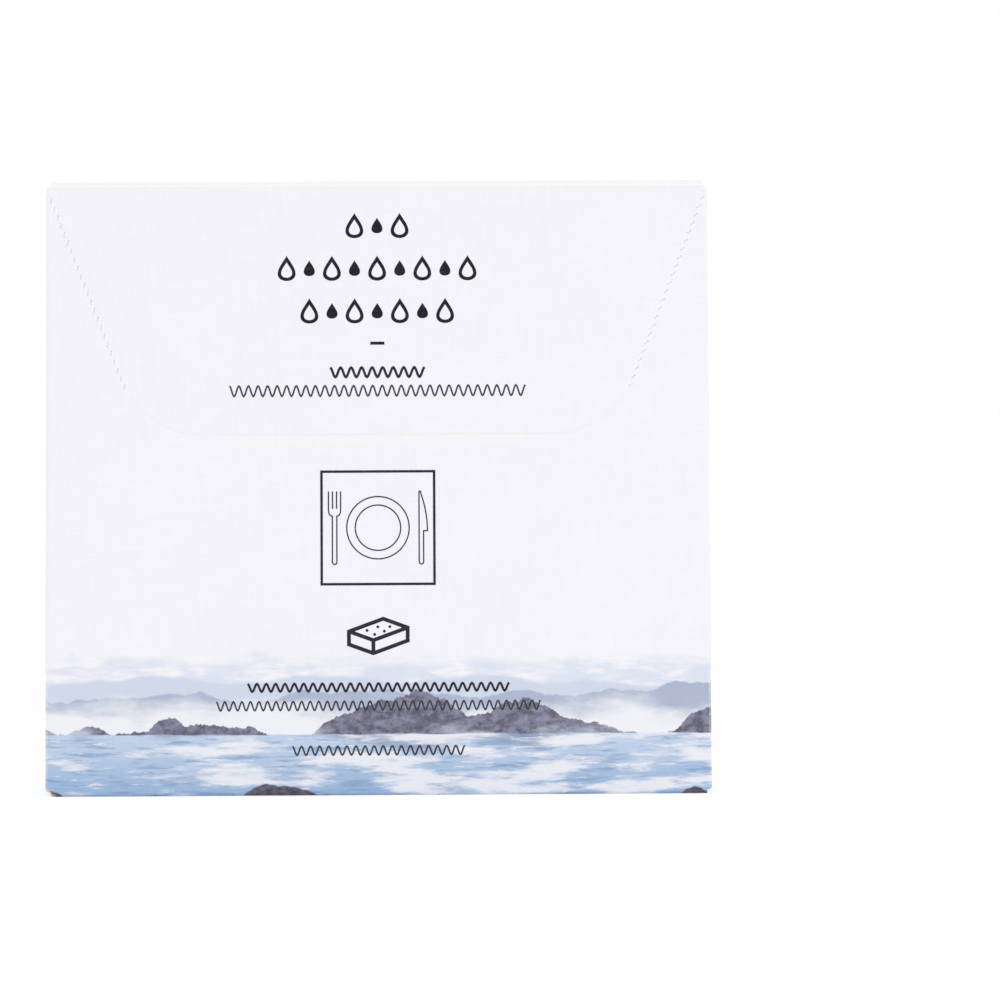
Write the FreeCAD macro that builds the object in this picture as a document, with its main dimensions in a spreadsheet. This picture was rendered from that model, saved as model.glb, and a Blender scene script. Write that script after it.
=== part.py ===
import FreeCAD, Part
import os

import Sketcher

# Closed folding carton of paperboard for dishwasher tablets.
# Origin at the middle of the base, front panel towards -Y, up is +Z, millimetres.
# The filled wrap carries the flap layers of both ends, profiles trim its folds, and
# knife cuts in the front panel draw the lid that is torn open.

NODE = "carton"

# Driving sizes: alias, value, meaning
SIZES = (
    ("width", 164.0, "across the front panel"),
    ("depth", 64.0, "front panel to back panel"),
    ("height", 152.0, "base to top"),
    ("board", 0.5, "thickness of the paperboard"),
    ("fold_radius", 1.0, "outside radius of the folds between panels"),
    ("crease_radius", 1.6, "outside radius of the front panel's folds to its flaps"),
    ("flap_trim", 0.2, "outer flaps, short of the upright folds"),
    ("inner_trim", 0.6, "inner flaps, short of the outer flaps at each side"),
    ("flap_setback", 1.5, "free edge of the outer flaps, short of the back panel"),
    ("flap_corner", 3.0, "cut corners on the free edge of the outer flaps"),
    ("seam_setback", 0.6, "raw edge of the side panel, short of the back panel"),
    ("lid_start", 1.3, "where the tear line leaves the upright folds, below the top"),
    ("lid_inset", 24.1, "how far the tear line leans in on each side"),
    ("lid_drop", 63.1, "bottom of the tear line, below the top"),
    ("lid_corner", 22.4, "radius of the two lower corners of the tear line"),
    ("slit_start", 1.33, "start of the tear line to the middle of the first slit"),
    ("slit_pitch", 2.27, "middle to middle of the slits"),
    ("slit_long", 1.25, "length of a slit"),
    ("slit_wide", 0.45, "width of a slit"),
    ("slit_open", 0.25, "how deep a slit stands open before its edges close"),
    ("slit_skew", 30.5, "turn of each slit out of the tear line, in degrees"),
    ("cut_wide", 0.12, "width of the fine knife cuts"),
    ("cut_open", 0.06, "how deep a fine cut stands open"),
    ("arc_cut", 1.85, "length of a fine cut in the round corners"),
    ("arc_nick", 0.35, "uncut board between two fine cuts in the round corners"),
    ("row_cut", 6.6, "length of a fine cut along the bottom"),
    ("row_nick", 0.4, "uncut board between two fine cuts along the bottom"),
    ("crush_run", 2.35, "crushed lower left front corner, along the front"),
    ("crush_rise", 1.9, "crushed corner, up the front"),
    ("crush_depth", 7.5, "crushed corner, along the side"),
)

# Formulas that several features share. The slits run on past the start of the round
# corner by SLIT_OVERRUN, and the fine cuts stop there.
FRONT = "-sizes.depth / 2"
BACK = "sizes.depth / 2"
LEFT = "-sizes.width / 2"
RIGHT = "sizes.width / 2"
TOP = "sizes.height"
WRAP_TOP = "sizes.height - 2 * sizes.board"
WRAP_BASE = "2 * sizes.board"
OUTER_HALF = "(sizes.width / 2 - sizes.fold_radius - sizes.flap_trim)"
INNER_HALF = f"({OUTER_HALF} - sizes.inner_trim)"
FREE_EDGE = "sizes.depth / 2 - sizes.flap_setback"
LID_FALL = "(sizes.lid_drop - sizes.lid_start)"
LEAN = f"atan({LID_FALL} / sizes.lid_inset)"
SLANT = f"sqrt(sizes.lid_inset ^ 2 + {LID_FALL} ^ 2)"
TANGENT = f"sizes.lid_corner * tan({LEAN} / 2)"
SLIT_COUNT = f"ceil(({SLANT} - {TANGENT}) / sizes.slit_pitch) + 1"
ROW_HALF = f"(sizes.width / 2 - sizes.lid_inset - {TANGENT})"
ROW_LEVEL = "sizes.height - sizes.lid_drop"
ROW_PITCH = "(sizes.row_cut + sizes.row_nick)"
ROW_COUNT = f"floor(2 * {ROW_HALF} / {ROW_PITCH})"
ARC_PITCH = "(sizes.arc_cut + sizes.arc_nick)"
ARC_STEP = f"{ARC_PITCH} / sizes.lid_corner * 180 deg / pi"
SLIT_OVERRUN = "1.5 * sizes.slit_pitch"
ARC_COUNT = f"floor({LEAN} / ({ARC_STEP}) - {SLIT_OVERRUN} / {ARC_PITCH})"

doc = FreeCAD.newDocument("tablet_carton")
sheet = doc.addObject("Spreadsheet::Sheet", "sizes")
for row, (alias, value, meaning) in enumerate(SIZES, start=1):
    sheet.set(f"A{row}", meaning)
    sheet.set(f"B{row}", str(value))
    sheet.setAlias(f"B{row}", alias)
doc.recompute()

body = doc.addObject("PartDesign::Body", "carton_body")
body.Label = NODE
volumes = [0.0]


def number(formula):
    """What a formula gives with the sheet's values."""
    result = sheet.evalExpression(formula)
    return float(getattr(result, "Value", result))


def add_sketch(name, role, offset=("0", "0", "0"), turn="0 deg"):
    """A sketch on one of the body's planes, shifted and turned by formulas."""
    sketch = body.newObject("Sketcher::SketchObject", name)
    plane = next(item for item in body.Origin.OriginFeatures if item.Role == role)
    sketch.AttachmentSupport = [(plane, "")]
    sketch.MapMode = "FlatFace"
    for axis, formula in zip("xyz", offset):
        sketch.setExpression(f".AttachmentOffset.Base.{axis}", formula)
    sketch.setExpression(".AttachmentOffset.Rotation.Angle", turn)
    return sketch


def hold(sketch, kind, formula, *places):
    """Add one dimension to a sketch and bind it to its formula."""
    rule = Sketcher.Constraint(kind, *places, number(formula))
    sketch.setExpression(f"Constraints[{sketch.addConstraint(rule)}]", formula)


def draw_outline(sketch, points, closing_arc=None):
    """A closed outline through points given by formulas.

    Its last edge is straight, or an arc given by its radius and its middle."""
    spots = [FreeCAD.Vector(number(x), number(y), 0) for x, y in points]
    first = sketch.GeometryCount
    last = first + len(points) - 1
    for start, end in zip(spots, spots[1:]):
        sketch.addGeometry(Part.LineSegment(start, end))
    near, far = 1, 2
    if closing_arc:
        radius, middle = closing_arc
        centre = FreeCAD.Vector(number(middle[0]), number(middle[1]), 0)
        arms = [spots[-1] - centre, spots[0] - centre]
        if arms[0].cross(arms[1]).z < 0:
            arms.reverse()
            near, far = 2, 1
        crown = (arms[0] + arms[1]).normalize() * number(radius)
        sketch.addGeometry(Part.Arc(centre + arms[0], centre + crown, centre + arms[1]))
    else:
        sketch.addGeometry(Part.LineSegment(spots[-1], spots[0]))
    for line in range(first, last - 1):
        sketch.addConstraint(Sketcher.Constraint("Coincident", line, 2, line + 1, 1))
    sketch.addConstraint(Sketcher.Constraint("Coincident", last - 1, 2, last, near))
    sketch.addConstraint(Sketcher.Constraint("Coincident", last, far, first, 1))
    ends = [(line, 1) for line in range(first, last)] + [(last - 1, 2)]
    for end, (x, y) in zip(ends, points):
        hold(sketch, "DistanceX", x, -1, 1, *end)
        hold(sketch, "DistanceY", y, -1, 1, *end)
    if closing_arc:
        hold(sketch, "Radius", radius, last)


def draw_fold(sketch, corner, inward, radius):
    """The sliver outside a round fold whose square corner would be at corner."""
    (x, y), (side_x, side_y) = corner, inward
    middle = (f"{x} {side_x} {radius}", f"{y} {side_y} {radius}")
    draw_outline(sketch, ((middle[0], y), (x, y), (x, middle[1])), (radius, middle))


def recompute(feature, grows):
    """Recompute, and stop where a feature left the board's volume as it was."""
    doc.recompute()
    volumes.append(feature.Shape.Volume)
    change = volumes[-1] - volumes[-2]
    if change == 0 or (change > 0) != grows:
        raise RuntimeError(f"{feature.Name} changed the volume by {change}")
    return feature


def add_pad(name, sketch, length):
    """Board added from a sketch along its normal."""
    pad = body.newObject("PartDesign::Pad", name)
    pad.Profile = sketch
    pad.setExpression("Length", length)
    return recompute(pad, grows=True)


def trim_through(name, sketch, span):
    """Board removed outside the folds, from a middle plane out past both ends of span."""
    pocket = body.newObject("PartDesign::Pocket", name)
    pocket.Profile = sketch
    pocket.SideType = "Symmetric"
    pocket.setExpression("Length", f"2 * {span}")
    return recompute(pocket, grows=False)


def cut_front(name, sketch, depth):
    """A cut into the front panel."""
    pocket = body.newObject("PartDesign::Pocket", name)
    pocket.Profile = sketch
    pocket.Refine = False
    pocket.setExpression("Length", depth)
    return recompute(pocket, grows=False)


def repeat(kind, name, cut, axis, spacing, count, backwards=False):
    """A cut repeated in a row or round a corner."""
    pattern = body.newObject(f"PartDesign::{kind}", name)
    pattern.Originals = [cut]
    setattr(pattern, "Direction" if kind == "LinearPattern" else "Axis", axis)
    pattern.Mode = "Spacing"
    pattern.Refine = False
    pattern.Reversed = backwards
    pattern.setExpression("Offset", spacing)
    pattern.setExpression("Occurrences", count)
    body.Tip = pattern
    return recompute(pattern, grows=False)


def build_wrap():
    """The four panels, up to the folds of the side panels' dust flaps."""
    sketch = add_sketch("wrap_outline", "XY_Plane", ("0", "0", WRAP_BASE))
    draw_outline(sketch, ((LEFT, FRONT), (RIGHT, FRONT), (RIGHT, BACK), (LEFT, BACK)))
    add_pad("wrap", sketch, f"{WRAP_TOP} - {WRAP_BASE}")


def build_flaps():
    """Inner flaps from the back panel, with the front panel's flaps glued over them."""
    sketch = add_sketch("inner_flap_outline", "XY_Plane", ("0", "0", "sizes.board"))
    fold_line = f"{FRONT} + sizes.crease_radius"
    draw_outline(sketch, (
        (f"-{INNER_HALF}", fold_line),
        (INNER_HALF, fold_line),
        (INNER_HALF, BACK),
        (f"-{INNER_HALF}", BACK),
    ))
    add_pad("inner_flaps", sketch, f"{TOP} - 2 * sizes.board")

    sketch = add_sketch("outer_flap_outline", "XY_Plane")
    corner_y = f"{FREE_EDGE} - sizes.flap_corner"
    corner_x = f"({OUTER_HALF} - sizes.flap_corner)"
    draw_outline(sketch, (
        (f"-{OUTER_HALF}", FRONT),
        (OUTER_HALF, FRONT),
        (OUTER_HALF, corner_y),
        (corner_x, FREE_EDGE),
        (f"-{corner_x}", FREE_EDGE),
        (f"-{OUTER_HALF}", corner_y),
    ))
    add_pad("outer_flaps", sketch, TOP)


def trim_folds():
    """Round folds, and the glued seam at the rear left."""
    halfway_up = ("0", "0", "sizes.height / 2")
    sketch = add_sketch("upright_fold_slivers", "XY_Plane", halfway_up)
    draw_fold(sketch, (LEFT, FRONT), "++", "sizes.fold_radius")
    draw_fold(sketch, (RIGHT, FRONT), "-+", "sizes.fold_radius")
    draw_fold(sketch, (RIGHT, BACK), "--", "sizes.fold_radius")
    trim_through("upright_folds", sketch, "sizes.height")

    sketch = add_sketch("seam_sliver", "XY_Plane", halfway_up)
    middle = (f"{LEFT} + sizes.board + sizes.fold_radius", f"{BACK} - sizes.fold_radius")
    edge = f"{BACK} - sizes.seam_setback"
    reach = "sqrt(sizes.fold_radius ^ 2 - (sizes.fold_radius - sizes.seam_setback) ^ 2)"
    points = ((middle[0], BACK), (LEFT, BACK), (LEFT, edge), (f"{middle[0]} - {reach}", edge))
    draw_outline(sketch, points, ("sizes.fold_radius", middle))
    trim_through("glue_seam", sketch, "sizes.height")

    sketch = add_sketch("side_fold_slivers", "XZ_Plane")
    for x, inward_x in ((LEFT, "+"), (RIGHT, "-")):
        draw_fold(sketch, (x, WRAP_BASE), inward_x + "+", "sizes.fold_radius")
        draw_fold(sketch, (x, WRAP_TOP), inward_x + "-", "sizes.fold_radius")
    trim_through("side_folds", sketch, "sizes.depth")

    sketch = add_sketch("end_fold_slivers", "YZ_Plane")
    draw_fold(sketch, (FRONT, "0"), "++", "sizes.crease_radius")
    draw_fold(sketch, (FRONT, TOP), "+-", "sizes.crease_radius")
    draw_fold(sketch, (BACK, "sizes.board"), "-+", "sizes.fold_radius")
    draw_fold(sketch, (BACK, f"{TOP} - sizes.board"), "--", "sizes.fold_radius")
    trim_through("end_folds", sketch, "sizes.width")


def knife_outline(middle, length, wide, skew="0 deg"):
    """Four corners of a knife cut about a point, turned clockwise by skew."""
    corners = []
    for end, side in (("-", "-"), ("+", "-"), ("+", "+"), ("-", "+")):
        along = f"{end} {length} / 2"
        across = f"{side} {wide} / 2"
        x = f"{middle[0]} + ({along}) * cos({skew}) + ({across}) * sin({skew})"
        y = f"{middle[1]} + ({across}) * cos({skew}) - ({along}) * sin({skew})"
        corners.append((x, y))
    return corners


def cut_tear_line():
    """Skewed slits down both sides of the lid, fine cuts round its lower edge."""
    slit = knife_outline(
        ("sizes.slit_start", "0"), "sizes.slit_long", "sizes.slit_wide", "sizes.slit_skew * 1 deg"
    )
    for side, corner_x, turn in (("left", LEFT, f"-{LEAN}"), ("right", RIGHT, f"{LEAN} - 180 deg")):
        place = (corner_x, f"{TOP} - sizes.lid_start", BACK)
        sketch = add_sketch(f"{side}_slit", "XZ_Plane", place, turn)
        draw_outline(sketch, slit)
        cut = cut_front(f"{side}_slit_cut", sketch, "sizes.slit_open")
        along = (sketch, ["H_Axis"])
        repeat("LinearPattern", f"{side}_slits", cut, along, "sizes.slit_pitch", SLIT_COUNT)

    corner_cut = knife_outline(("0", "-sizes.lid_corner"), "sizes.arc_cut", "sizes.cut_wide")
    for side, sign, backwards in (("left", "-", True), ("right", "+", False)):
        place = (f"{sign} {ROW_HALF}", f"{ROW_LEVEL} + sizes.lid_corner", BACK)
        sketch = add_sketch(f"{side}_corner", "XZ_Plane", place, f"{sign} {ARC_STEP} / 2")
        draw_outline(sketch, corner_cut)
        cut = cut_front(f"{side}_corner_cut", sketch, "sizes.cut_open")
        about = (sketch, ["N_Axis"])
        repeat("PolarPattern", f"{side}_corner_cuts", cut, about, ARC_STEP, ARC_COUNT, backwards)

    start = f"-({ROW_COUNT} - 1) / 2 * {ROW_PITCH}"
    sketch = add_sketch("bottom_row", "XZ_Plane", (start, ROW_LEVEL, BACK))
    draw_outline(sketch, knife_outline(("0", "0"), "sizes.row_cut", "sizes.cut_wide"))
    cut = cut_front("bottom_row_cut", sketch, "sizes.cut_open")
    repeat("LinearPattern", "bottom_row_cuts", cut, (sketch, ["H_Axis"]), ROW_PITCH, ROW_COUNT)


def crush_corner():
    """The lower left front corner, pressed to a slope that fades out along the side."""
    run, reach, rise = (number(f"sizes.crush_{way}") for way in ("run", "depth", "rise"))
    slope = FreeCAD.Vector(1 / run, 1 / reach, 1 / rise)
    turn = FreeCAD.Rotation(FreeCAD.Vector(0, 0, 1), slope)
    block = body.newObject("PartDesign::SubtractiveBox", "crushed_corner")
    block.Length = block.Width = block.Height = 2 * (run + reach + rise)
    middle_of_top = FreeCAD.Vector(block.Length.Value / 2, block.Width.Value / 2, block.Height.Value)
    corner = FreeCAD.Vector(number(LEFT), number(FRONT), 0)
    on_slope = corner + slope * (1 / slope.Length ** 2)
    block.Placement = FreeCAD.Placement(on_slope - turn.multVec(middle_of_top), turn)
    recompute(block, grows=False)


build_wrap()
build_flaps()
trim_folds()
cut_tear_line()
crush_corner()

for item in doc.Objects:
    if "Invalid" in item.State or "Error" in item.State:
        raise RuntimeError(f"{item.Name} did not recompute: {item.State}")
if body.Shape.isNull() or not body.Shape.isValid() or len(body.Shape.Solids) != 1:
    raise RuntimeError("the carton is not one sound solid")

os.makedirs("parts", exist_ok=True)
body.Shape.exportStep(f"parts/{body.Label}.step")
box = body.Shape.BoundBox
print(f"{body.Label}: {box.XLength:.2f} x {box.YLength:.2f} x {box.ZLength:.2f} mm")
print(f"volume {body.Shape.Volume:.0f}, faces {len(body.Shape.Faces)}")
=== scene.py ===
import math

import bmesh
import bpy
from mathutils import Matrix, Vector


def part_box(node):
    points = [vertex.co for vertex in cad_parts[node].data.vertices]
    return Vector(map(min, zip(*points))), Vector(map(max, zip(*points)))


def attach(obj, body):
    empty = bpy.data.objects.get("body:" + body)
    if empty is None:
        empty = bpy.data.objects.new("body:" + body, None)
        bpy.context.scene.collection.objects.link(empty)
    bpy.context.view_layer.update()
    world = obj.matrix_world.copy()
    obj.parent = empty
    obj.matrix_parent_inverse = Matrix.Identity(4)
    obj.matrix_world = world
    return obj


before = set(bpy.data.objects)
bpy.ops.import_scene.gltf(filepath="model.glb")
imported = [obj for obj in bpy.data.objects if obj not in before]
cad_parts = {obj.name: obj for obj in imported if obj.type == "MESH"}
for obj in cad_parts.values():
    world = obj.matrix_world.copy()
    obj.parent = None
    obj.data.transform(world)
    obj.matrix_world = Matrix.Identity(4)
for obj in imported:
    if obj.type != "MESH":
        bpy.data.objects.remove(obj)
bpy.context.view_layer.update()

# Lengths are in millimetres, and MM turns them into the scene's metres
MM = 0.001
CARTON = "carton"
top_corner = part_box(CARTON)[1] / MM
HALF_WIDTH = top_corner.x
HALF_DEPTH = top_corner.y
HEIGHT = top_corner.z

# Camera, with its place and clip in millimetres and its turns in degrees
FRAME_PIXELS = 1000
SENSOR_WIDTH = 36.0
FOCAL_PIXELS = 3040.7
CAMERA_DISTANCE = 750.0
CAMERA_RIGHT = 23.5
CAMERA_HEIGHT = 36.1
CAMERA_TURN = 0.508
CAMERA_LIFT = 2.778
CAMERA_ROLL = -0.307
CAMERA_CLIP = (10.0, 50000.0)

# Board, its folds and its crushed corner
BOARD = 0.5
FOLD_RADIUS = 1.0
CREASE_RADIUS = 1.6
CRUSH_RUN = 2.35
CRUSH_RISE = 1.9
CRUSH_DEPTH = 7.5

# Ink stands this far off the board and reaches this far into it
INK_PROUD = 0.03
INK_SUNK = 0.02

# Share of white light that a white board facing the camera sends back
FRONT_LIGHT = 1.18


def tone(red, green, blue):
    """The surface colour that shows as this screen colour, 0 to 255, on the lit front panel."""
    screen = [channel / 255 for channel in (red, green, blue)]
    return tuple(((share + 0.055) / 1.055) ** 2.4 / FRONT_LIGHT for share in screen)


class Graph:
    """Builds one material's nodes. A value is a socket, a number or a colour of three numbers."""

    def __init__(self, name):
        self.material = bpy.data.materials.new(name)
        self.material.use_nodes = True
        self.tree = self.material.node_tree
        self.tree.nodes.clear()
        self.output = self.add("ShaderNodeOutputMaterial")

    def add(self, kind, **settings):
        node = self.tree.nodes.new(kind)
        for key, value in settings.items():
            setattr(node, key, value)
        return node

    def feed(self, socket, value):
        if isinstance(value, bpy.types.NodeSocket):
            self.tree.links.new(value, socket)
        elif isinstance(value, tuple) and socket.type == "RGBA":
            socket.default_value = (*value, 1.0)
        else:
            socket.default_value = value

    def calc(self, operation, *values):
        node = self.add("ShaderNodeMath", operation=operation)
        for socket, value in zip(node.inputs, values):
            self.feed(socket, value)
        return node.outputs[0]

    def plus(self, *values):
        total = values[0]
        for value in values[1:]:
            total = self.calc("ADD", total, value)
        return total

    def times(self, *values):
        total = values[0]
        for value in values[1:]:
            total = self.calc("MULTIPLY", total, value)
        return total

    def step(self, value, start, end):
        """Rises smoothly from 0 at start to 1 at end."""
        node = self.add("ShaderNodeMapRange", interpolation_type="SMOOTHSTEP")
        self.feed(node.inputs["Value"], value)
        self.feed(node.inputs["From Min"], start)
        self.feed(node.inputs["From Max"], end)
        return node.outputs["Result"]

    def blend(self, share, first, second):
        node = self.add("ShaderNodeMix", data_type="FLOAT")
        for index, value in ((0, share), (2, first), (3, second)):
            self.feed(node.inputs[index], value)
        return node.outputs[0]

    def mix(self, share, first, second):
        node = self.add("ShaderNodeMix", data_type="RGBA")
        for index, value in ((0, share), (6, first), (7, second)):
            self.feed(node.inputs[index], value)
        return node.outputs[2]

    def split(self, vector):
        node = self.add("ShaderNodeSeparateXYZ")
        self.feed(node.inputs[0], vector)
        return node.outputs[0], node.outputs[1], node.outputs[2]

    def noise(self, point, size, detail=2.0, rough=0.5, seed=0.0):
        """Noise from 0 to 1 with grains of this size: one number, or one for each of x, y and z.

        An axis without a size is held at the seed."""
        sizes = size if isinstance(size, tuple) else (size, size, size)
        place = self.add("ShaderNodeCombineXYZ")
        for socket, value, grain in zip(place.inputs, point, sizes):
            self.feed(socket, self.times(value, 1 / grain) if grain else seed)
        node = self.add("ShaderNodeTexNoise")
        self.feed(node.inputs["Vector"], place.outputs[0])
        node.inputs["Scale"].default_value = 1.0
        node.inputs["Detail"].default_value = detail
        node.inputs["Roughness"].default_value = rough
        return node.outputs["Fac"]

    def place(self):
        """The point's x, y and z in millimetres, and its outward direction."""
        source = self.add("ShaderNodeTexCoord")
        scale = self.add("ShaderNodeVectorMath", operation="SCALE")
        self.feed(scale.inputs[0], source.outputs["Object"])
        scale.inputs["Scale"].default_value = 1 / MM
        return self.split(scale.outputs[0]), self.split(source.outputs["Normal"])

    def finish(self, color, roughness, height, specular):
        """Ends the material with this surface, whose height is in millimetres."""
        shader = self.add("ShaderNodeBsdfPrincipled")
        self.feed(shader.inputs["Base Color"], color)
        self.feed(shader.inputs["Roughness"], roughness)
        shader.inputs["Specular IOR Level"].default_value = specular
        bump = self.add("ShaderNodeBump")
        bump.inputs["Strength"].default_value = 1.0
        bump.inputs["Distance"].default_value = MM
        self.feed(bump.inputs["Height"], height)
        self.feed(shader.inputs["Normal"], bump.outputs[0])
        self.feed(self.output.inputs["Surface"], shader.outputs[0])
        return self.material


# Linen embossing of the board
THREAD_PITCH = 0.8
THREAD_RUN = 9.0
THREAD_RELIEF = 0.016
THREAD_SEEDS = (3.7, 9.1)
SWELL_PITCH = 48.0
SWELL_RELIEF = 0.25

# Least share of a face's direction along x or z for it to count as a side or an end
FACING = 0.7


def linen(g, point, normal):
    """The board's height in millimetres, and how far its threads stand up, from 0 to 1.

    One family of threads runs across each panel and one runs up it."""
    x, y, z = point
    on_side = g.calc("GREATER_THAN", g.calc("ABSOLUTE", normal[0]), FACING)
    on_end = g.calc("GREATER_THAN", g.calc("ABSOLUTE", normal[2]), FACING)
    spot = (g.blend(on_side, x, y), g.blend(on_end, z, y), 0.0)
    warp = g.noise(spot, (THREAD_PITCH, THREAD_RUN, None), seed=THREAD_SEEDS[0])
    weft = g.noise(spot, (THREAD_RUN, THREAD_PITCH, None), seed=THREAD_SEEDS[1])
    swell = g.noise(point, SWELL_PITCH)
    threads = g.times(g.plus(warp, weft), 0.5)
    return g.plus(g.times(threads, 2 * THREAD_RELIEF), g.times(swell, SWELL_RELIEF)), threads


# Printed landscape round the carton's foot. Its levels are heights above the foot.
HAZE_TOP = 35.2
HAZE_DEEP = 5.5
MIST_TOP = 25.0
MIST_DEEP = 7.0
LOW_MIST_DEEP = 5.0
CLOUD_SWAY = 16.0
SHORE = 15.2
SHORE_SWAY = 1.6
TREE_TALL = 1.0

# Ridges: seed, level of the middle, rise, pitch between hills and roughness of the line
FAR_RIDGE = (2.3, 29.0, 6.0, 30.0, 0.45)
MIDDLE_RIDGE = (7.9, 24.5, 9.0, 26.0, 0.5)
NEAR_RIDGE = (12.6, 19.9, 22.0, 34.0, 0.5)
BANK_RIDGE = (28.2, -0.3, 9.0, 24.0, 0.5)
RIDGE_DETAIL = 7.0

# How softly each form ends at its upper edge
FAR_SOFT = 1.2
MIDDLE_SOFT = 0.6
NEAR_SOFT = 0.3
SHORE_SOFT = 0.35
BANK_SOFT = 0.4

# Sizes of the grains of cloud, trees, crags and water, along x, y and z
CLOUD_GRAIN = (17.0, 17.0, 6.0)
STREAK_GRAIN = (9.0, 9.0, 2.2)
TREE_GRAIN = (0.62, 0.62, None)
TREE_SEED = 4.4
CRAG_GRAIN = (2.4, 2.4, 1.6)
RIPPLE_GRAIN = (11.0, 11.0, 1.1)
GLINT_GRAIN = (6.0, 6.0, 0.7)
FOG_GRAIN = (24.0, 24.0, 4.5)

# Reflection of the near hills: its height beside theirs, its sway on the ripples and its edge
MIRROR_SHARE = 0.55
MIRROR_SWAY = 5.0
MIRROR_SOFT = 2.5

HAZE = tone(222, 228, 242)
FAR_HILL = tone(210, 218, 236)
MIDDLE_HILL = tone(174, 184, 208)
NEAR_HILL = (tone(92, 89, 108), tone(138, 139, 163))
MIST = tone(243, 244, 249)
LOW_MIST = tone(214, 222, 237)
WATER = (tone(196, 213, 236), tone(158, 187, 221))
DEEP_WATER = tone(130, 157, 194)
MIRRORED_HILL = tone(124, 137, 168)
FOG = tone(244, 244, 250)
GLINT = tone(246, 246, 251)
BANK = (tone(66, 62, 74), tone(108, 104, 120))


def below(g, level, z, soft):
    """1 below a level, turning smoothly to 0 at it."""
    return g.step(g.calc("SUBTRACT", level, z), 0.0, soft)


def ridge_line(g, point, seed, base, rise, pitch, rough):
    """Level of a ridge, the same on both sides of each corner of the carton."""
    wave = g.noise(point, (pitch, pitch, None), detail=RIDGE_DETAIL, rough=rough, seed=seed)
    return g.plus(base, g.times(g.plus(wave, -0.5), 2 * rise))


def crags(g, point):
    """Share of light on the rough slopes."""
    return g.step(g.noise(point, CRAG_GRAIN, detail=6.0, rough=0.7), 0.36, 0.64)


def paint_hills(g, point, color, cloud):
    """Three ranges of hills, each fading into mist at its foot, and the near range's level."""
    z = point[2]
    mist_level = g.plus(MIST_TOP, g.times(g.plus(cloud, -0.5), CLOUD_SWAY))
    mist = g.step(z, mist_level, g.plus(mist_level, -MIST_DEEP))
    far = ridge_line(g, point, *FAR_RIDGE)
    color = g.mix(below(g, far, z, FAR_SOFT), color, g.mix(mist, FAR_HILL, MIST))
    middle = ridge_line(g, point, *MIDDLE_RIDGE)
    color = g.mix(below(g, middle, z, MIDDLE_SOFT), color, g.mix(mist, MIDDLE_HILL, MIST))

    trees = g.noise(point, TREE_GRAIN, rough=0.6, seed=TREE_SEED)
    near = ridge_line(g, point, *NEAR_RIDGE)
    near = g.plus(near, g.times(trees, TREE_TALL))
    slope = g.mix(crags(g, point), *NEAR_HILL)
    low_mist = g.times(g.step(z, SHORE + LOW_MIST_DEEP, SHORE), g.step(cloud, 0.45, 0.7), 0.75)
    return g.mix(below(g, near, z, NEAR_SOFT), color, g.mix(low_mist, slope, LOW_MIST)), near


def paint_lake(g, point, color, near):
    """Still water with the near hills mirrored in it, fog lying on it and glints between ripples."""
    z = point[2]
    ripple = g.noise(point, RIPPLE_GRAIN, detail=5.0, rough=0.6)
    glint = g.noise(point, GLINT_GRAIN, detail=4.0, rough=0.65)
    fog = g.noise(point, FOG_GRAIN, detail=6.0, rough=0.6)
    sway = g.plus(ripple, -0.5)
    water = g.mix(g.step(z, SHORE, 0.0), *WATER)
    water = g.mix(g.times(g.step(ripple, 0.52, 0.36), 0.7), water, DEEP_WATER)
    upside_down = g.times(g.plus(near, -SHORE), -MIRROR_SHARE)
    mirrored = g.plus(SHORE, upside_down, g.times(sway, -MIRROR_SWAY))
    in_mirror = g.step(g.calc("SUBTRACT", z, mirrored), 0.0, MIRROR_SOFT)
    water = g.mix(g.times(in_mirror, 0.6), water, MIRRORED_HILL)
    water = g.mix(g.times(g.step(fog, 0.46, 0.6), 0.9), water, FOG)
    water = g.mix(g.times(g.step(glint, 0.58, 0.7), 0.7), water, GLINT)
    shore_line = g.plus(SHORE, g.times(sway, SHORE_SWAY))
    return g.mix(below(g, shore_line, z, SHORE_SOFT), color, water)


def paint_landscape(g, point, paper):
    """A misty lake with hills beyond it and dark banks in front, under the bare paper."""
    z = point[2]
    cloud = g.noise(point, CLOUD_GRAIN, detail=5.0, rough=0.55)
    haze_top = g.plus(HAZE_TOP, g.times(g.plus(cloud, -0.5), CLOUD_SWAY))
    haze = g.step(z, haze_top, g.plus(haze_top, -HAZE_DEEP))
    streaks = g.noise(point, STREAK_GRAIN, detail=5.0, rough=0.55)
    color = g.mix(g.times(haze, g.step(streaks, 0.34, 0.6)), paper, HAZE)
    color, near = paint_hills(g, point, color, cloud)
    color = paint_lake(g, point, color, near)
    bank = ridge_line(g, point, *BANK_RIDGE)
    return g.mix(below(g, bank, z, BANK_SOFT), color, g.mix(crags(g, point), *BANK))


# Colours of the board, and how much darker the paper gets towards the top: painted shade, lighter
# towards the foot
PAPER = (tone(241.6, 241.2, 246.2), tone(247.8, 247.1, 251.6))
TOP_SHADE_RAMP = 0.55
# White of the folds: wear of the print, with painted highlight where the folds and the top crease
# catch the light
FOLD_WHITE = tone(253.5, 253.2, 254.5)
# Painted highlight, under the tear line and along the slit rims
PAINTED_HIGHLIGHT = tone(250.0, 249.8, 251.5)
CORE = tone(216, 210, 201)
# Slit walls, painted lighter than the board's core: painted light in the cuts
SLIT_WALL = tone(248.5, 247.5, 253.5)
FIBRE = tone(240, 236, 231)
DARK_SPECK = tone(128, 100, 78)

# Tear line of the lid, as it leans in from the panel's top corners
LID_START = 1.3
LID_INSET = 24.1
LID_DROP = 63.1
SLIT_START = 1.33
SLIT_PITCH = 2.27
SLIT_RUN = 54.6
RIM_INNER = 0.3
RIM_OUTER = 0.75
RIM_FADE = (0.42, 0.2)


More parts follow.
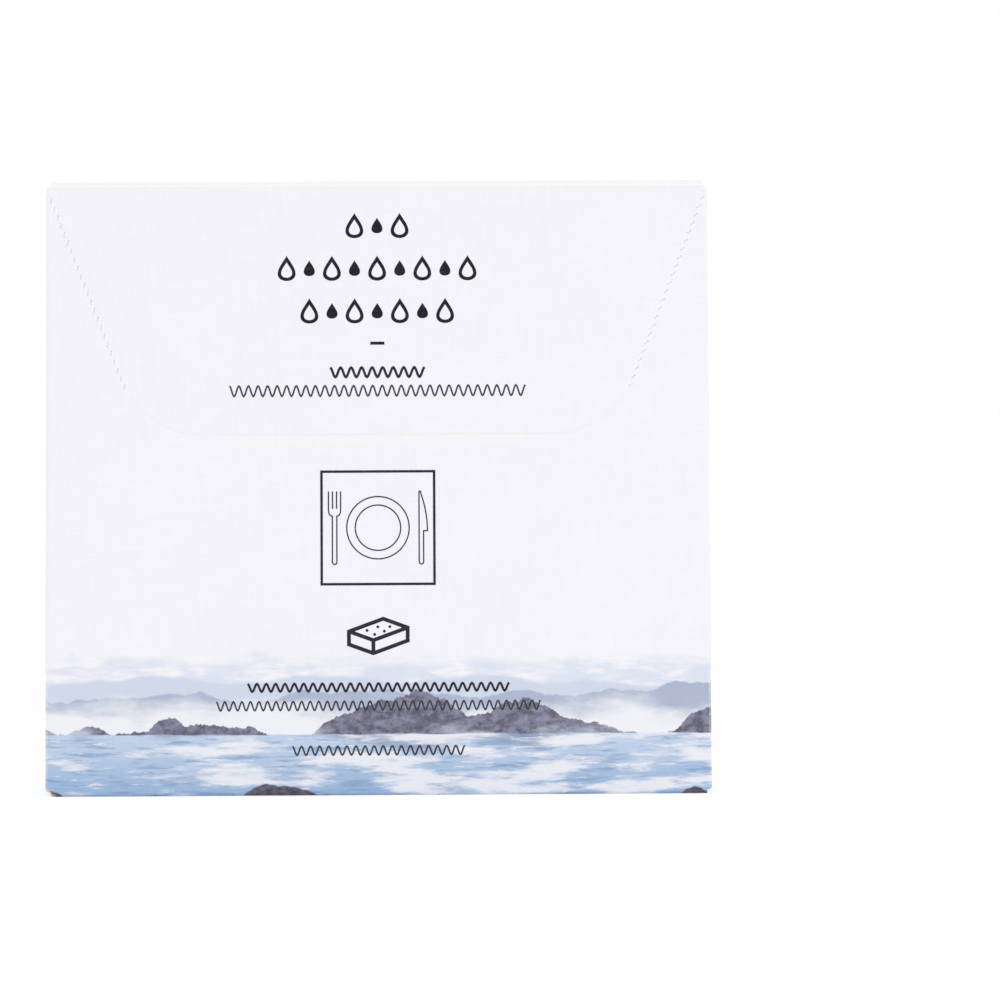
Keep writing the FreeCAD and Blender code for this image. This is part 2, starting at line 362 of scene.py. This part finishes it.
def slit_rim_highlights(g, point):
    """Share of painted highlight on the board pressed up along both edges of each slit."""
    x, y, z = point
    lean = math.atan2(LID_DROP - LID_START, LID_INSET)
    inward = g.calc("SUBTRACT", HALF_WIDTH, g.calc("ABSOLUTE", x))
    down = g.calc("SUBTRACT", HEIGHT - LID_START, z)
    off = g.plus(g.times(inward, math.sin(lean)), g.times(down, -math.cos(lean)))
    along = g.plus(g.times(inward, math.cos(lean)), g.times(down, math.sin(lean)))
    turn = g.calc("FRACT", g.times(g.plus(along, -SLIT_START + SLIT_PITCH / 2), 1 / SLIT_PITCH))
    off = g.calc("ABSOLUTE", off)
    return g.times(
        g.step(g.calc("ABSOLUTE", g.plus(turn, -0.5)), *RIM_FADE),
        g.step(off, RIM_OUTER, RIM_INNER),
        g.calc("LESS_THAN", along, SLIT_RUN),
        g.calc("LESS_THAN", y, -HALF_DEPTH + FOLD_RADIUS),
    )


# Painted highlight in a band under the tear line: the sharp edge along its top, where it starts to
# fade, its foot and its half width
ROW_HIGHLIGHT_EDGE = 0.4
ROW_HIGHLIGHT_FULL = 1.0
ROW_HIGHLIGHT_DEEP = 5.0
ROW_HIGHLIGHT_HALF = 36.0
ROW_HIGHLIGHT_FADE = 12.0


def row_highlight(g, point):
    """Share of painted highlight in a soft band under the tear line's lower edge."""
    x, y, z = point
    under = g.calc("SUBTRACT", HEIGHT - LID_DROP, z)
    return g.times(
        g.step(under, 0.0, ROW_HIGHLIGHT_EDGE),
        g.step(under, ROW_HIGHLIGHT_DEEP, ROW_HIGHLIGHT_FULL),
        g.step(g.calc("ABSOLUTE", x), ROW_HIGHLIGHT_HALF + ROW_HIGHLIGHT_FADE, ROW_HIGHLIGHT_HALF),
        g.calc("LESS_THAN", y, -HALF_DEPTH + FOLD_RADIUS),
    )


# Whitening of the folds, part wear and part painted highlight, and painted highlight on the top
# crease: grain, least reach, sway, shares on folds and crease, and the clean foot's height
WEAR_GRAIN = 1.1
WEAR_REACH = 0.35
WEAR_SWAY = 1.1
FOLD_WEAR_AND_HIGHLIGHT = 0.45
CREASE_HIGHLIGHT = 0.7
FOOT_CLEAN = 1.6


def fold_wear_and_highlight(g, point):
    """Share of whitened board along the folds, part wear of the print and part painted highlight:
    most on the top crease, where it is painted highlight, none along the foot.
    """
    x, y, z = point
    from_side = g.calc("SUBTRACT", HALF_WIDTH, g.calc("ABSOLUTE", x))
    from_face = g.calc("SUBTRACT", HALF_DEPTH, g.calc("ABSOLUTE", y))
    from_top = g.calc("SUBTRACT", HEIGHT, z)
    from_end = g.calc("MINIMUM", z, from_top)
    nearest = g.calc("MINIMUM", g.calc("MINIMUM", from_side, from_face), from_end)
    farthest = g.calc("MAXIMUM", g.calc("MAXIMUM", from_side, from_face), from_end)
    middle = g.plus(from_side, from_face, from_end, g.times(nearest, -1), g.times(farthest, -1))
    rub = g.noise(point, WEAR_GRAIN, detail=4.0, rough=0.65)
    reach = g.plus(WEAR_REACH, g.times(rub, WEAR_SWAY))
    worn_and_lit = g.times(g.step(rub, 0.3, 0.7), g.step(z, FOOT_CLEAN, 2 * FOOT_CLEAN), FOLD_WEAR_AND_HIGHLIGHT)
    folds = g.times(g.step(middle, reach, g.times(reach, 0.4)), worn_and_lit)
    # The top crease's whitening is painted highlight, where the fold faces up
    crease = g.times(g.step(from_top, CREASE_RADIUS, CREASE_RADIUS * 0.8), CREASE_HIGHLIGHT)
    return g.calc("MAXIMUM", folds, crease)


# Raw edges: how level they face, and how far their area keeps off the folds
EDGE_FACING = 0.3
EDGE_CLEAR = 0.1


def raw_edges(g, point, normal):
    """1 on the cut edges of the end flaps, whose core shows."""
    y, z = point[1], point[2]
    from_middle = g.calc("ABSOLUTE", g.plus(z, -HEIGHT / 2))
    return g.times(
        g.calc("LESS_THAN", g.calc("ABSOLUTE", normal[2]), EDGE_FACING),
        g.calc("GREATER_THAN", from_middle, HEIGHT / 2 - 2 * BOARD + EDGE_CLEAR),
        g.calc("GREATER_THAN", y, -HALF_DEPTH + CREASE_RADIUS + EDGE_CLEAR),
    )


# Slits: how far their area keeps off the folds, and how far behind the front it starts
SLIT_CLEAR = 0.05
SLIT_SKIN = 0.03


def inside_slits(g, point):
    """1 on the walls and floors of the slits and cuts in the front panel."""
    x, y, z = point
    return g.times(
        g.calc("GREATER_THAN", y, -HALF_DEPTH + SLIT_SKIN),
        g.calc("LESS_THAN", y, -HALF_DEPTH + BOARD),
        g.calc("LESS_THAN", g.calc("ABSOLUTE", x), HALF_WIDTH - FOLD_RADIUS - SLIT_CLEAR),
        g.calc("LESS_THAN", z, HEIGHT - CREASE_RADIUS - SLIT_CLEAR),
        g.calc("GREATER_THAN", z, CREASE_RADIUS + SLIT_CLEAR),
    )


# Torn fibres' grain, and the speck's x and z with its full and outer radius
FRAY_GRAIN = 0.45
DARK_SPECK_SPOT = (-80.0, 0.9)
DARK_SPECK_REACH = (0.2, 0.8)


def paint_crushed_corner(g, point, color):
    """Torn fibres round the crushed lower left front corner, with a dark brown speck."""
    x, y, z = point
    from_cut = g.plus(
        g.times(g.plus(x, HALF_WIDTH), 1 / CRUSH_RUN),
        g.times(z, 1 / CRUSH_RISE),
        g.times(g.plus(y, HALF_DEPTH), 1 / CRUSH_DEPTH),
        -1.0,
    )
    frayed = g.noise(point, FRAY_GRAIN, detail=5.0, rough=0.7)
    crush = g.step(from_cut, g.plus(0.1, g.times(frayed, 0.9)), 0.0)
    color = g.mix(crush, color, g.mix(g.step(frayed, 0.42, 0.6), CORE, FIBRE))
    reach = g.calc("SQRT", g.plus(
        g.calc("POWER", g.plus(x, -DARK_SPECK_SPOT[0]), 2.0),
        g.calc("POWER", g.plus(z, -DARK_SPECK_SPOT[1]), 2.0),
    ))
    on_front = g.calc("LESS_THAN", y, -HALF_DEPTH + FOLD_RADIUS)
    spot = g.times(g.step(reach, DARK_SPECK_REACH[1], DARK_SPECK_REACH[0]), on_front, g.step(frayed, 0.35, 0.55))
    return g.mix(spot, color, DARK_SPECK)


# Paper's cloudiness and threads, the shares of painted highlight under the tear line and on the slit
# rims, the walls' turn into the ends, gloss
MOTTLE_GRAIN = 30.0
THREAD_SHARE = 1.7
ROW_HIGHLIGHT_SHARE = 0.35
RIM_HIGHLIGHT_SHARE = 0.8
WALL_FACING = (0.99, 0.93)
BOARD_ROUGHNESS = 0.52
BOARD_SPECULAR = 0.35


def board_material():
    """White linen-embossed paperboard with the printed landscape, its wear, painted highlights,
    painted shade towards the top, painted light in the slits and its raw edges.
    """
    g = Graph("printed_board")
    point, normal = g.place()
    height, threads = linen(g, point, normal)
    mottle = g.noise(point, MOTTLE_GRAIN, detail=5.0, rough=0.6)
    # Painted shade: the paper darker towards the top and lighter towards the foot
    sky = g.times(g.plus(g.times(point[2], -1 / HEIGHT), 0.5), TOP_SHADE_RAMP)
    share = g.plus(g.times(g.plus(threads, -0.5), THREAD_SHARE), mottle, sky)
    paper = g.mix(share, *PAPER)
    # Painted highlights under the tear line and along the slit rims
    paper = g.mix(g.times(row_highlight(g, point), ROW_HIGHLIGHT_SHARE), paper, PAINTED_HIGHLIGHT)
    paper = g.mix(g.times(slit_rim_highlights(g, point), RIM_HIGHLIGHT_SHARE), paper, PAINTED_HIGHLIGHT)
    on_wall = g.step(g.calc("ABSOLUTE", normal[2]), *WALL_FACING)
    color = g.mix(on_wall, paper, paint_landscape(g, point, paper))
    # Whitened folds: wear of the print with painted highlight, strongest on the top crease
    color = g.mix(fold_wear_and_highlight(g, point), color, FOLD_WHITE)
    # Walls of the slits painted light, lighter than the board's core
    color = g.mix(inside_slits(g, point), color, SLIT_WALL)
    color = g.mix(raw_edges(g, point, normal), color, CORE)
    color = paint_crushed_corner(g, point, color)
    roughness = g.plus(BOARD_ROUGHNESS, g.times(mottle, 0.1))
    return g.finish(color, roughness, height, BOARD_SPECULAR)


def dress_carton():
    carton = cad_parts[CARTON]
    carton.data.materials.clear()
    carton.data.materials.append(board_material())


# Print on the front panel
FRONT = -HALF_DEPTH
STRONG_INK = tone(29, 27, 34)
LINE_INK = tone(44, 43, 52)
FINE_INK = tone(62, 62, 70)
INK_PALER = 0.025
INK_GRAIN = 0.35
INK_ROUGHNESS = 0.55
INK_SPECULAR = 0.1


def ink_material(name, color):
    """Matt ink that follows the board's threads, and lies thinner on top of them."""
    g = Graph(name)
    point, normal = g.place()
    height, threads = linen(g, point, normal)
    speck = g.noise(point, INK_GRAIN, detail=3.0, rough=0.6)
    thin = g.plus(g.times(threads, 0.6), g.times(speck, 0.4))
    pale = tuple(channel + INK_PALER for channel in color)
    ink = g.mix(g.step(thin, 0.45, 0.7), color, pale)
    return g.finish(ink, INK_ROUGHNESS, height, INK_SPECULAR)


def add_stroke(mesh, points, width, closed=False, proud=INK_PROUD):
    """Adds a closed solid along points (x, z) on the front panel: a ring if closed, else a bar."""
    count = len(points)
    sections = []
    for index, (x, z) in enumerate(points):
        before = points[index - 1] if closed or index > 0 else points[index]
        after = points[(index + 1) % count] if closed or index < count - 1 else points[index]
        came = Vector((x - before[0], z - before[1]))
        goes = Vector((after[0] - x, after[1] - z))
        came = came.normalized() if came.length else goes.normalized()
        goes = goes.normalized() if goes.length else came
        middle = (came + goes).normalized()
        reach = width / 2 / max(middle.dot(came), 0.5)
        side = Vector((-middle.y, middle.x)) * reach
        corners = []
        for sign, depth in ((1, -proud), (1, INK_SUNK), (-1, INK_SUNK), (-1, -proud)):
            corner = (x + sign * side.x, FRONT + depth, z + sign * side.y)
            corners.append(mesh.verts.new(Vector(corner) * MM))
        sections.append(corners)
    last = count if closed else count - 1
    for index in range(last):
        first, second = sections[index], sections[(index + 1) % count]
        for turn in range(4):
            ahead = (turn + 1) % 4
            mesh.faces.new((first[turn], first[ahead], second[ahead], second[turn]))
    if not closed:
        mesh.faces.new(reversed(sections[0]))
        mesh.faces.new(sections[-1])


def add_ring(mesh, outer, inner):
    """Adds a closed solid between two outlines with as many points (x, z) each."""
    loops = []
    for outline in (outer, inner):
        for depth in (-INK_PROUD, INK_SUNK):
            loops.append([mesh.verts.new(Vector((x, FRONT + depth, z)) * MM) for x, z in outline])
    outer_front, outer_rear, inner_front, inner_rear = loops
    around = (outer_front, outer_rear, inner_rear, inner_front)
    for index in range(len(outer)):
        ahead = (index + 1) % len(outer)
        for turn in range(4):
            near, far = around[turn], around[(turn + 1) % 4]
            mesh.faces.new((near[index], near[ahead], far[ahead], far[index]))


def add_plate(mesh, points):
    """Adds a filled closed solid with the outline points (x, z)."""
    front = [mesh.verts.new(Vector((x, FRONT - INK_PROUD, z)) * MM) for x, z in points]
    rear = [mesh.verts.new(Vector((x, FRONT + INK_SUNK, z)) * MM) for x, z in points]
    mesh.faces.new(front)
    mesh.faces.new(reversed(rear))
    for index in range(len(points)):
        ahead = (index + 1) % len(points)
        mesh.faces.new((front[ahead], front[index], rear[index], rear[ahead]))


def make_print(name, material, draw):
    """Makes one printed piece from a function that draws into a mesh."""
    mesh = bmesh.new()
    draw(mesh)
    bmesh.ops.recalc_face_normals(mesh, faces=mesh.faces)
    data = bpy.data.meshes.new(name)
    mesh.to_mesh(data)
    mesh.free()
    data.materials.append(material)
    piece = bpy.data.objects.new(name, data)
    bpy.context.scene.collection.objects.link(piece)
    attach(piece, "root")


def arc(x, z, radius, start, end, steps):
    """Points on a circle from the start angle to the end angle, in degrees."""
    angles = [math.radians(start + (end - start) * i / steps) for i in range(steps + 1)]
    return [(x + radius * math.cos(a), z + radius * math.sin(a)) for a in angles]


def circle(x, z, radius, steps=72):
    return arc(x, z, radius, 0, 360, steps)[:-1]


DROP_SHARPNESS = 1.5
DROP_STEPS = 48


def drop(x, z, height):
    """A water drop's outline, its tip up, from the teardrop formula."""
    points = []
    for index in range(DROP_STEPS):
        turn = 2 * math.pi * index / DROP_STEPS
        across = math.sin(turn) * abs(math.sin(turn / 2)) ** DROP_SHARPNESS
        points.append((x - across * height / 2, z + math.cos(turn) * height / 2))
    return points


# Rows of drops at the top of the panel: height of the row's middle and number of drops
DROP_ROWS = ((140.8, 3), (130.2, 9), (119.6, 7))
DROP_PITCH = 5.6
DROP_HEIGHT = 6.3
HOLE_HEIGHT = 3.9
HOLE_DROP = 0.38
SMALL_DROP = 3.9


def draw_drops(mesh):
    """Outlined drops, with a small solid one in every second place."""
    for level, count in DROP_ROWS:
        for index in range(count):
            x = (index - (count - 1) / 2) * DROP_PITCH
            if index % 2:
                add_plate(mesh, drop(x, level, SMALL_DROP))
            else:
                add_ring(mesh, drop(x, level, DROP_HEIGHT), drop(x, level - HOLE_DROP, HOLE_HEIGHT))


# Short dash below the drops
DASH_LEVEL = 111.5
DASH_LENGTH = 3.5
DASH_THICKNESS = 0.75


def draw_dash(mesh):
    add_stroke(mesh, [(-DASH_LENGTH / 2, DASH_LEVEL), (DASH_LENGTH / 2, DASH_LEVEL)], DASH_THICKNESS)


# Wavy lines: level, half width, height, stroke and length of one wave
BOLD_WAVES = (
    (104.3, 11.7, 3.0, 0.62, 2.6),
    (26.5, 32.2, 2.5, 0.56, 2.3),
)
FINE_WAVES = (
    (99.7, 36.6, 3.0, 0.42, 2.4),
    (22.0, 39.9, 2.6, 0.4, 2.1),
    (11.0, 21.2, 2.6, 0.42, 2.2),
)
WAVE_STEPS = 12


def wave_drawer(lines):
    def draw(mesh):
        for level, half, height, stroke, length in lines:
            waves = round(2 * half / length)
            steps = waves * WAVE_STEPS
            points = []
            for index in range(steps + 1):
                turn = 2 * math.pi * waves * index / steps
                x = -half + 2 * half * index / steps
                points.append((x, level + (height - stroke) / 2 * math.cos(turn)))
            add_stroke(mesh, points, stroke)
    return draw


# Square sign with a plate between a fork and a knife
SIGN_LEVEL = 65.8
SIGN_SIDE = 27.8
SIGN_STROKE = 0.62
LINE_STROKE = 0.32
PLATE_RADII = (7.7, 5.6)
CUTLERY_OFFSET = 10.7
CUTLERY_HALF = 9.0


def draw_sign_frame(mesh):
    half = SIGN_SIDE / 2
    corners = [(-half, -half), (half, -half), (half, half), (-half, half)]
    add_stroke(mesh, [(x, SIGN_LEVEL + z) for x, z in corners], SIGN_STROKE, closed=True)


def draw_plate(mesh):
    for radius in PLATE_RADII:
        add_stroke(mesh, circle(0, SIGN_LEVEL, radius), LINE_STROKE, closed=True)


FORK_HALF = 1.5
HANDLE_HALF = 0.55
TINE_FOOT = 4.4
TINE_SPACE = 0.5
TINE_GAP = 0.3
SHOULDER_STRETCH = 1.6


def draw_fork(mesh):
    x, z = -CUTLERY_OFFSET, SIGN_LEVEL
    foot_level = z + TINE_FOOT
    right = [(x + FORK_HALF, z + CUTLERY_HALF), (x + FORK_HALF, foot_level)]
    bend = arc(x + HANDLE_HALF, foot_level, FORK_HALF - HANDLE_HALF, 0, -90, 8)
    right += [(px, foot_level + (pz - foot_level) * SHOULDER_STRETCH) for px, pz in bend[1:]]
    right += arc(x, z - CUTLERY_HALF + HANDLE_HALF, HANDLE_HALF, 0, -90, 6)
    left = [(2 * x - px, pz) for px, pz in reversed(right[:-1])]
    add_stroke(mesh, right + left, LINE_STROKE)
    for shift in (-TINE_SPACE, TINE_SPACE):
        tine = [(x + shift, z + CUTLERY_HALF), (x + shift, foot_level + TINE_GAP)]
        add_stroke(mesh, tine, LINE_STROKE)


BLADE_BULGE = 1.5
BLADE_FOOT = -0.8
BLADE_STEPS = 14
TIP_ROUND = 0.25


def draw_knife(mesh):
    """A table knife with a straight back and a bulging edge, its tip rounded."""
    x, z = CUTLERY_OFFSET, SIGN_LEVEL
    back = x - HANDLE_HALF
    tip = z + CUTLERY_HALF
    points = arc(back + TIP_ROUND, tip - TIP_ROUND, TIP_ROUND, 180, 60, 6)
    for index in range(1, BLADE_STEPS + 1):
        share = index / BLADE_STEPS
        bulge = (BLADE_BULGE + HANDLE_HALF) * math.sin(share * math.pi / 2) ** 0.7
        points.append((back + max(bulge, 2 * TIP_ROUND), tip + (z + BLADE_FOOT - tip) * share))
    points.append((x + HANDLE_HALF, z + BLADE_FOOT))
    points += arc(x, z - CUTLERY_HALF + HANDLE_HALF, HANDLE_HALF, 0, -180, 10)
    add_stroke(mesh, points, LINE_STROKE, closed=True)


# Slab-shaped tablet below the sign, drawn from above one corner
TABLET_LEVEL = 39.1
TABLET_STROKE = 0.95
TABLET_LONG = 9.0
TABLET_DEEP = 6.4
TABLET_THICK = 3.2
TABLET_TILT = 20.0
SPECK_RADIUS = 0.36
SPECKS = ((0.25, 0.3), (0.52, 0.28), (0.78, 0.42), (0.3, 0.68), (0.6, 0.66))


def draw_tablet(mesh):
    """The slab's outline, the Y of the three edges inside it, and specks on its top."""
    tilt = math.radians(TABLET_TILT)
    along = Vector((math.cos(tilt), math.sin(tilt))) * TABLET_LONG
    aside = Vector((-math.cos(tilt), math.sin(tilt))) * TABLET_DEEP
    down = Vector((0, -TABLET_THICK))
    near = Vector((0, TABLET_LEVEL)) - (along + aside + down) / 2
    outline = (near + down, near + along + down, near + along, near + along + aside,
               near + aside, near + aside + down)
    add_stroke(mesh, outline, TABLET_STROKE, closed=True)
    edge = TABLET_STROKE / 2
    ends = (near + along - along.normalized() * edge, near + aside - aside.normalized() * edge)
    add_stroke(mesh, (ends[0], near, ends[1]), TABLET_STROKE, proud=INK_PROUD * 0.9)
    add_stroke(mesh, (near, near + down), TABLET_STROKE, proud=INK_PROUD * 0.8)
    for share_along, share_aside in SPECKS:
        spot = near + along * share_along + aside * share_aside
        add_plate(mesh, circle(spot.x, spot.y, SPECK_RADIUS, 16))


def add_print():
    strong = ink_material("strong_ink", STRONG_INK)
    mid = ink_material("line_ink", LINE_INK)
    fine = ink_material("fine_ink", FINE_INK)
    make_print("drop_rows", strong, draw_drops)
    make_print("short_dash", strong, draw_dash)
    make_print("bold_waves", mid, wave_drawer(BOLD_WAVES))
    make_print("fine_waves", fine, wave_drawer(FINE_WAVES))
    make_print("sign_frame", mid, draw_sign_frame)
    make_print("plate_drawing", mid, draw_plate)
    make_print("fork_drawing", mid, draw_fork)
    make_print("knife_drawing", mid, draw_knife)
    make_print("tablet_drawing", mid, draw_tablet)


# Pale floor, in metres
FLOOR_HALF = 4.0
FLOOR_ALBEDO = 0.9
FLOOR_ROUGHNESS = 0.9
FLOOR_GLOW = 0.24


def add_floor():
    mesh = bmesh.new()
    bmesh.ops.create_grid(mesh, x_segments=1, y_segments=1, size=FLOOR_HALF)
    data = bpy.data.meshes.new("studio_floor")
    mesh.to_mesh(data)
    mesh.free()
    floor = bpy.data.objects.new("studio_floor", data)
    bpy.context.scene.collection.objects.link(floor)
    g = Graph("pale_floor")
    shader = g.add("ShaderNodeBsdfPrincipled")
    shader.inputs["Base Color"].default_value = (FLOOR_ALBEDO, FLOOR_ALBEDO, FLOOR_ALBEDO, 1.0)
    shader.inputs["Roughness"].default_value = FLOOR_ROUGHNESS
    shader.inputs["Specular IOR Level"].default_value = 0.0
    shader.inputs["Emission Color"].default_value = (1.0, 1.0, 1.0, 1.0)
    shader.inputs["Emission Strength"].default_value = FLOOR_GLOW
    g.feed(g.output.inputs["Surface"], shader.outputs[0])
    data.materials.append(g.material)


# Soft square lights: place and size in metres, and power in watts
LIGHTS = {
    "key_light": (Vector((0.9, -1.4, 0.56)), 1.1, 3.1),
    "top_light": (Vector((0.0, 0.0, 1.5)), 1.2, 1.0),
}
SKY_STRENGTH = 1.0


def add_light():
    world = bpy.data.worlds.new("studio")
    bpy.context.scene.world = world
    world.use_nodes = True
    sky = world.node_tree.nodes["Background"]
    sky.inputs["Color"].default_value = (1.0, 1.0, 1.0, 1.0)
    sky.inputs["Strength"].default_value = SKY_STRENGTH
    target = Vector((0, 0, HEIGHT / 2 * MM))
    for name, (place, size, power) in LIGHTS.items():
        data = bpy.data.lights.new(name, "AREA")
        data.shape = "SQUARE"
        data.size = size
        data.energy = power
        lamp = bpy.data.objects.new(name, data)
        lamp.location = place
        lamp.rotation_euler = (target - place).to_track_quat("-Z", "Y").to_euler()
        bpy.context.scene.collection.objects.link(lamp)


def add_camera():
    data = bpy.data.cameras.new("camera")
    data.sensor_fit = "HORIZONTAL"
    data.sensor_width = SENSOR_WIDTH
    data.lens = SENSOR_WIDTH * FOCAL_PIXELS / FRAME_PIXELS
    data.clip_start, data.clip_end = (reach * MM for reach in CAMERA_CLIP)
    camera = bpy.data.objects.new("camera", data)
    place = Vector((CAMERA_RIGHT, -HALF_DEPTH - CAMERA_DISTANCE, CAMERA_HEIGHT)) * MM
    turn = math.radians(CAMERA_TURN)
    lift = math.radians(CAMERA_LIFT)
    roll = math.radians(CAMERA_ROLL)
    aim = Matrix.Rotation(-turn, 4, "Z") @ Matrix.Rotation(math.pi / 2 + lift, 4, "X")
    camera.matrix_world = Matrix.Translation(place) @ aim @ Matrix.Rotation(roll, 4, "Z")
    bpy.context.scene.collection.objects.link(camera)
    bpy.context.scene.camera = camera


bpy.context.scene.view_settings.view_transform = "Standard"
dress_carton()
add_print()
add_floor()
add_light()
add_camera()
